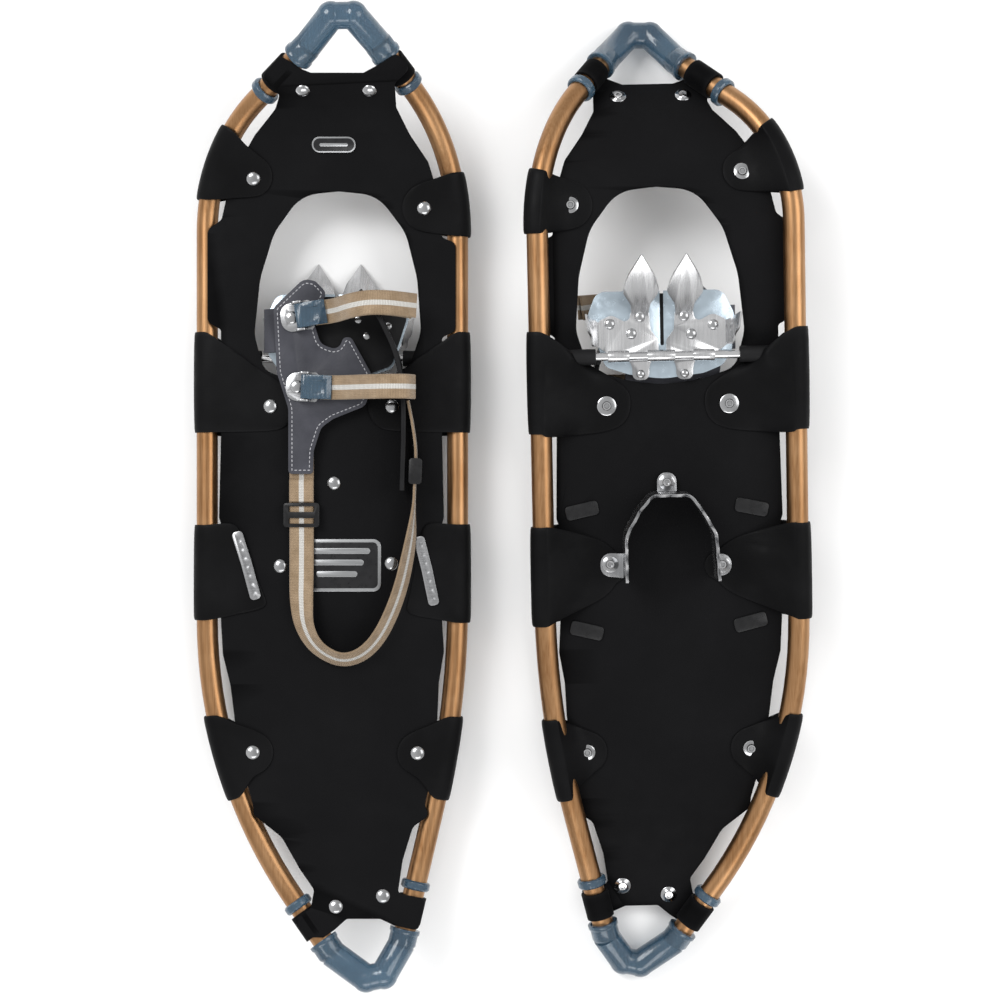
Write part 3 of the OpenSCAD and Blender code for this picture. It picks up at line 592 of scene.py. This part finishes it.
def washers(shoe):
    """Raised washers round the rivets' rolled ends, proud of the wraps under the deck."""
    meshes = []
    for x, y, r in WASHERS:
        tip = math.atan(slope(y))
        place = (PLACE[shoe] @ Matrix.Translation((x, y, rise(y) + WRAP_UNDER / math.cos(tip)))
                 @ Matrix.Rotation(tip, 4, "X"))
        meshes.append(turned("washer", [(0.4, -2.7), (1.7, -2.7), (2.1, -3.3), (3.0, -3.3),
                                        (3.4, -2.6), (3.7, -2.1), (r - 0.9, -1.9),
                                        (r - 0.2, -1.6), (r, -1.1), (r, 0.2)], place))
    return piece(f"{shoe}_rivet_washers", joined("washers", meshes), shoe + "_shoe",
                 "bright_rivet")


# ---------- straps ----------

def webbing(shoe, name, route, body, stands_for=(), width=19.0, thick=1.8, rounds=3):
    """Flat strap along stations (x, y, z, roll): roll 0 lies flat, 90 stands on edge."""
    stations = smooth([list(p) for p in route], rounds)
    w, t = width / 2, thick / 2
    section = [(-w, 0), (-w + 0.25, t * 0.8), (-w + 0.9, t)]
    section += [(x * w / 6, t * (1.0 + 0.1 * (x % 2))) for x in range(-5, 6)]
    section += [(w - 0.9, t), (w - 0.25, t * 0.8), (w, 0)]
    section += [(x, -y) for x, y in section[-2:0:-1]]
    rings, uv, along = [], [], 0.0
    for i, (x, y, z, roll) in enumerate(stations):
        spot = Vector((x, y, z))
        ahead = Vector(stations[min(i + 1, len(stations) - 1)][:3])
        behind = Vector(stations[max(i - 1, 0)][:3])
        way = (ahead - behind).normalized()
        across = Vector((way.y, -way.x, 0)).normalized()
        up = across.cross(way)
        a = math.radians(roll)
        side_way = math.cos(a) * across + math.sin(a) * up
        face = side_way.cross(way)
        if i:
            along += (spot - Vector(stations[i - 1][:3])).length
        rings.append([spot + p * side_way + q * face for p, q in section])
        uv += [(p * MM, along * MM) for p, q in section]
    mesh = loft(f"{shoe}_{name}", rings, PLACE[shoe], uv)
    return piece(f"{shoe}_{name}_look", mesh, body, "webbing", stands_for=stands_for)


UNDER_Z = 14.75      # heel strap lying flat over the deck
EDGE_Z = 22.75       # heel strap standing on edge
# Routes hold stations of x, y, z and roll
TOE_ROUTE = [(-12, 34, FLAP_TOP + 3, 0), (2, 35.5, FLAP_TOP + 3.2, 0),
             (16, 38, EDGE_TOP - 2, 0), (30, 40, EDGE_TOP + 5, 0), (44, 40, EDGE_TOP + 4, 0),
             (56, 39, EDGE_TOP - 2, 0), (64, 38, EDGE_TOP - 10, 0)]
TOE_LAYER = [(9, 36.5, 36, 0), (17, 38, EDGE_TOP + 1.5, 0), (30, 40, EDGE_TOP + 7.6, 0),
             (45, 40, EDGE_TOP + 6.6, 0), (58, 39, EDGE_TOP + 0.4, 0),
             (67, 38.5, EDGE_TOP - 7.5, 0)]
INSTEP_ROUTE = [(-8, -23.5, FLAP_TOP + 3, 0), (4, -24, FLAP_TOP + 3.2, 0),
                (26, -24, EDGE_TOP - 6, 0), (44, -24, EDGE_TOP + 4, 0),
                (60, -24, EDGE_TOP + 3, 0), (66, -24, EDGE_TOP - 8, 0)]
HEEL_ROUTE = [(60.4, -34, EDGE_Z + 1, 90), (64, -52, EDGE_Z, 90), (67, -74, EDGE_Z, 90),
              (65.5, -100, EDGE_Z, 90), (65, -116, EDGE_Z, 90), (62.5, -145, EDGE_Z + 1.5, 64),
              (53, -188, EDGE_Z + 1.5, 58), (35, -225, EDGE_Z + 1, 56), (12, -238, EDGE_Z, 56),
              (-10, -228, EDGE_Z, 52), (-21, -210, EDGE_Z - 2, 38), (-23, -188, UNDER_Z + 4, 12),
              (-23, -168, UNDER_Z, 0), (-23, -120, UNDER_Z, 0), (-23, -76, UNDER_Z, 0)]
HEEL_TAIL = [(-23, -96, UNDER_Z + 2.4, 0), (-23, -104, UNDER_Z + 2.6, 0),
             (-23, -112.5, UNDER_Z + 2.4, 0)]
# Boot pad over the metal plate: its outline stays inside the plate's
# Outlines hold corners of x, y and corner radius
PAD = [(-41, 48, 10), (52, 48, 10), (59, 31, 9), (51.5, 8, 8), (47, -6, 8), (30, -12.5, 20),
       (4, -16.5, 60), (-28, -12.5, 20), (-42, -6.5, 8), (-42, 10, 6), (-43, 31, 10)]
FLAP = [(-44.6, 38.6, 6), (-20.7, 61.4, 10), (-11.7, 59, 6), (-3, 50, 6), (-14, 30, 8),
        (-8, 10, 10), (6, 5.5, 6), (10, 15.4, 4), (16, 15.4, 4), (32.8, -15, 12),
        (27, -38, 8), (2, -48, 10), (-7.6, -55, 10), (-13.3, -73, 12), (-13.8, -91, 3),
        (-33, -91, 3), (-33, -40, 20), (-42, -12, 20)]


# ---------- badges ----------

def badge(shoe):
    """Two small plates with a plain pattern of bars: a rounded one and an oval one."""
    body, place = shoe + "_shoe", PLACE[shoe] @ Matrix.Translation((4.3, -162.4, DECK_TOP))
    plate = slab("plate", rounded(-34.5, -20.5, 34.5, 20.5, 6), 0, 0.9, place, 0.25)
    piece(f"{shoe}_badge_plate", plate, body, "badge_metal",
          stands_for=[f"{shoe}_deck_badges"])
    field = slab("field", rounded(-32, -18, 32, 18, 4), 0.8, 1.2, place, 0.15)
    piece(f"{shoe}_badge_field", field, body, "badge_metal", DARK_PRINT)
    bars = [slab("bar", rounded(-26 + 5 * k, 9 - 9 * k, 26 - 5 * k, 13.5 - 9 * k, 2),
                 1.1, 1.5, place, 0.15) for k in range(3)]
    piece(f"{shoe}_badge_bars", joined("bars", bars), body, "badge_metal")
    tip = math.atan(slope(165))
    place = (PLACE[shoe] @ Matrix.Translation((2.8, 165, rise(165) + DECK_TOP / math.cos(tip)))
             @ Matrix.Rotation(tip, 4, "X") @ Matrix.Translation((0, 0, 0.5)))
    oval = rounded(-17, -6.3, 17, 6.3, 6)
    piece(f"{shoe}_toe_label", slab("label", oval, 0, 0.9, place, 0.25), body, "badge_metal")
    rim = slab("rim", inset(oval, 1.2), 0.8, 1.1, place, 0.1)
    piece(f"{shoe}_toe_label_field", rim, body, "badge_metal", DARK_PRINT)
    bar = slab("bar", rounded(-11, -1.3, 11, 1.3, 1.2), 1.0, 1.3, place, 0.1)
    piece(f"{shoe}_toe_label_bar", bar, body, "badge_metal")


# ---------- one shoe ----------

def build(shoe):
    frame_body, binding = shoe + "_shoe", shoe + "_binding"
    tube(-1, shoe, "lateral_tube")
    tube(1, shoe, "medial_tube")
    for part, slot, bevel in (
            ("tip_cap", "blue_polymer", 0.9), ("tail_cap", "blue_polymer", 0.9),
            ("stop_rings", "blue_polymer", 0.3), ("heel_crampon", "stainless", 0.25),
            ("clamp_bars", "stamped_steel", 0.3), ("backing_plates", "black_plastic", 0.3),
            ("axle_rod", "bright_rivet", 0), ("axle_sleeves", "rubber_sleeve", 0.5),
            ("deck_rivets", "bright_rivet", 0)):
        refine(shoe, part, frame_body, slot, bevel)
    refine(shoe, "deck", frame_body, "deck_sheet", 0.5, flat=0.6)
    for part in ("front_wraps", "pivot_wraps", "heel_wraps", "rear_wraps"):
        refine(shoe, part, frame_body, "wrap_sheet", 0, 2)
    for name, side, end, low, high in (("toe_tab_a", -1, 1, 22, 45), ("toe_tab_b", 1, 1, 12, 30),
                                       ("tail_tab_a", -1, -1, 12, 33),
                                       ("tail_tab_b", 1, -1, 68, 89)):
        tab_fold(shoe, name, side, end, low, high)
    washers(shoe)
    badge(shoe)

    for part, slot, bevel in (
            ("foot_plate", "foot_plate", 0.4), ("toe_crampon", "stainless", 0.22),
            ("binding_rivets", "bright_rivet", 0), ("lateral_flap", "grey_flap", 0.9),
            ("medial_flap", "black_flap", 0.7), ("buckle_frames", "stamped_steel", 0.3),
            ("side_buckle", "black_plastic", 0.6)):
        refine(shoe, part, binding, slot, bevel)
    for part in ("toe_lever", "instep_lever"):
        refine(shoe, part, f"{shoe}_{part}_body", "blue_polymer", 0.5)
    refine(shoe, "heel_slider", shoe + "_heel_slider_body", "black_plastic", 0.6)

    webbing(shoe, "toe_strap", TOE_ROUTE, binding, [shoe + "_toe_strap"])
    webbing(shoe, "toe_strap_layer", TOE_LAYER, binding)
    webbing(shoe, "instep_strap", INSTEP_ROUTE, binding, [shoe + "_instep_strap"])
    webbing(shoe, "heel_strap", HEEL_ROUTE, binding, [shoe + "_heel_strap"])
    webbing(shoe, "heel_strap_tail", HEEL_TAIL, binding)
    pad = slab("pad", outline(PAD), PLATE_TOP + 0.02, PLATE_TOP + 1.5, PLACE[shoe], 0.5)
    piece(shoe + "_boot_pad", pad, binding, "black_flap")

    edge = inset(outline(FLAP), 2.9)
    stitches(shoe, "flap_stitching", binding,
             [(p.x, p.y, FLAP_TOP + 0.12) for p in edge + edge[:1]])


for shoe in SIDES:
    build(shoe)


# ---------- floor, light and camera ----------

low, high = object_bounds()
FLOOR_HALF = 6.0
CAMERA_HEIGHT = 1.85

mesh = bpy.data.meshes.new("floor")
corners = [(-1, -1), (1, -1), (1, 1), (-1, 1)]
mesh.from_pydata([(x * FLOOR_HALF, y * FLOOR_HALF, 0) for x, y in corners], [], [(0, 1, 2, 3)])
mesh.materials.append(studio())
floor = bpy.data.objects.new("floor", mesh)
bpy.context.scene.collection.objects.link(floor)
floor.location.z = -0.0005

world = bpy.data.worlds.new("studio")
bpy.context.scene.world = world
world.use_nodes = True
world.node_tree.nodes["Background"].inputs["Color"].default_value = (1, 1, 1, 1)
world.node_tree.nodes["Background"].inputs["Strength"].default_value = 0.72


def softbox(name, at, size, power, towards=(0, 0, 0)):
    data = bpy.data.lights.new(name, "AREA")
    data.shape = "RECTANGLE"
    data.size, data.size_y = size
    data.energy = power
    obj = bpy.data.objects.new(name, data)
    bpy.context.scene.collection.objects.link(obj)
    obj.location = at
    obj.rotation_euler = (Vector(towards) - Vector(at)).to_track_quat("-Z", "Y").to_euler()


softbox("key", (-1.3, 1.1, 2.0), (1.2, 1.2), 36)
softbox("fill", (1.6, 0.4, 1.7), (1.4, 1.4), 20)
softbox("rim", (0.1, -1.7, 1.5), (1.6, 0.8), 14)

middle = (low + high) / 2
bpy.context.scene.view_settings.view_transform = "Standard"
camera = bpy.data.objects.new("camera", bpy.data.cameras.new("camera"))
camera.data.lens = 83
camera.data.sensor_width = 36
camera.location = (middle.x, middle.y, CAMERA_HEIGHT)
bpy.context.scene.collection.objects.link(camera)
bpy.context.scene.camera = camera
